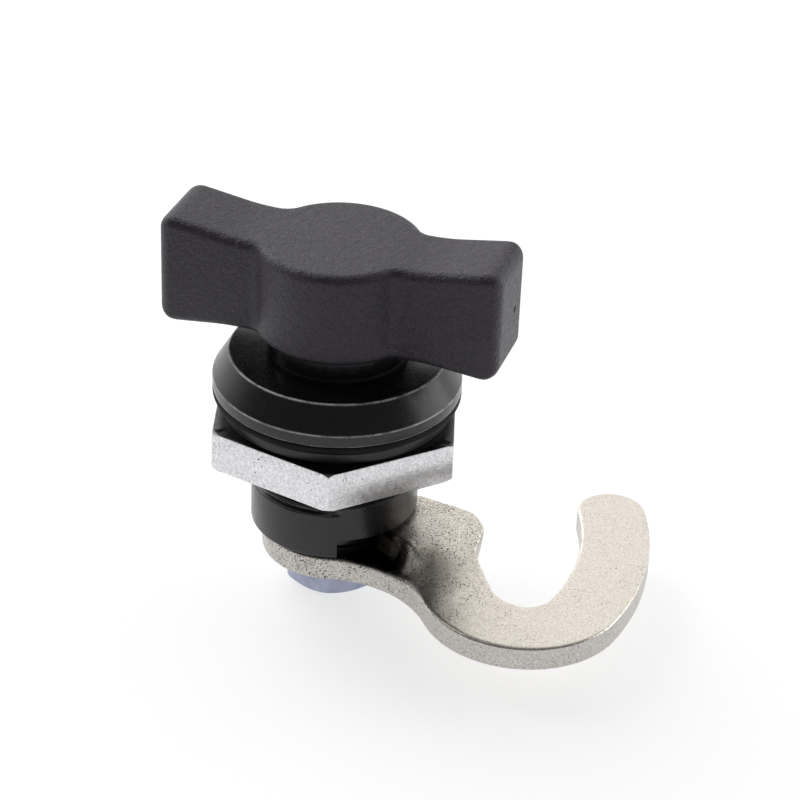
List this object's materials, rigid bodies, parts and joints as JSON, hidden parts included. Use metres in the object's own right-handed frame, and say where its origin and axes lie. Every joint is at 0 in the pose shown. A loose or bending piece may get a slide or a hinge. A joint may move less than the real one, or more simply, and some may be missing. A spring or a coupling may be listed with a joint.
{
  "type": "quarter-turn hook cam latch",
  "caption": "Quarter-turn rack latch: a wing knob turns a spindle in a flanged threaded barrel and swings a flat hook cam over a striker pin.",
  "frame": {"origin": "on the barrel axis at the flange underside, where the latch meets the panel", "axes": "+Z along the barrel axis towards the knob; +X to the right and +Y away from the viewer in the picture"},
  "size_m": [0.0572, 0.04, 0.0458],
  "materials": {
    "housing_black": "satin black coat on die-cast zinc",
    "gasket_rubber": "matt black rubber",
    "washer_black": "blackened steel",
    "nut_zinc": "bright zinc plating, slightly pitted",
    "thrust_plastic": "black nylon",
    "knob_charcoal": "fine textured charcoal coat",
    "screw_black": "blackened steel",
    "spindle_black": "gloss black coat on die-cast zinc",
    "ring_rubber": "black rubber",
    "spring_black": "blackened spring steel",
    "cam_nickel": "satin nickel plating on a casting",
    "lock_zinc": "zinc plating",
    "bolt_zinc": "bluish zinc plating"
  },
  "bodies": {
    "barrel": {"housing": "housing_black", "flange_gasket": "gasket_rubber", "thrust_washer": "thrust_plastic"},
    "rotor": {"wing_knob": "knob_charcoal", "knob_grub_screw": "screw_black", "spindle": "spindle_black", "spindle_o_rings": "ring_rubber", "spring_washer": "spring_black", "hook_cam": "cam_nickel", "cam_lock_washer": "lock_zinc", "cam_bolt": "bolt_zinc"},
    "washer": {"clamp_washer": "washer_black"},
    "nut": {"hex_nut": "nut_zinc"}
  },
  "joints": [
    {"name": "knob_turn", "type": "hinge", "parent": "barrel", "child": "rotor", "pos_m": [0, 0, 0], "axis": [0, 0, 1], "range_deg": [-36, 54]},
    {"name": "washer_travel", "type": "slide", "parent": "barrel", "child": "washer", "axis": [0, 0, -1], "range_m": [-0.00045, 0.004]},
    {"name": "nut_turn", "type": "hinge", "parent": "washer", "child": "nut", "pos_m": [0, 0, 0], "axis": [0, 0, -1], "range_deg": [-162, 1440]}
  ],
  "couplings": [
    {"joint": "washer_travel", "follows": "nut_turn", "m_per_rad": 0.00015915}
  ]
}
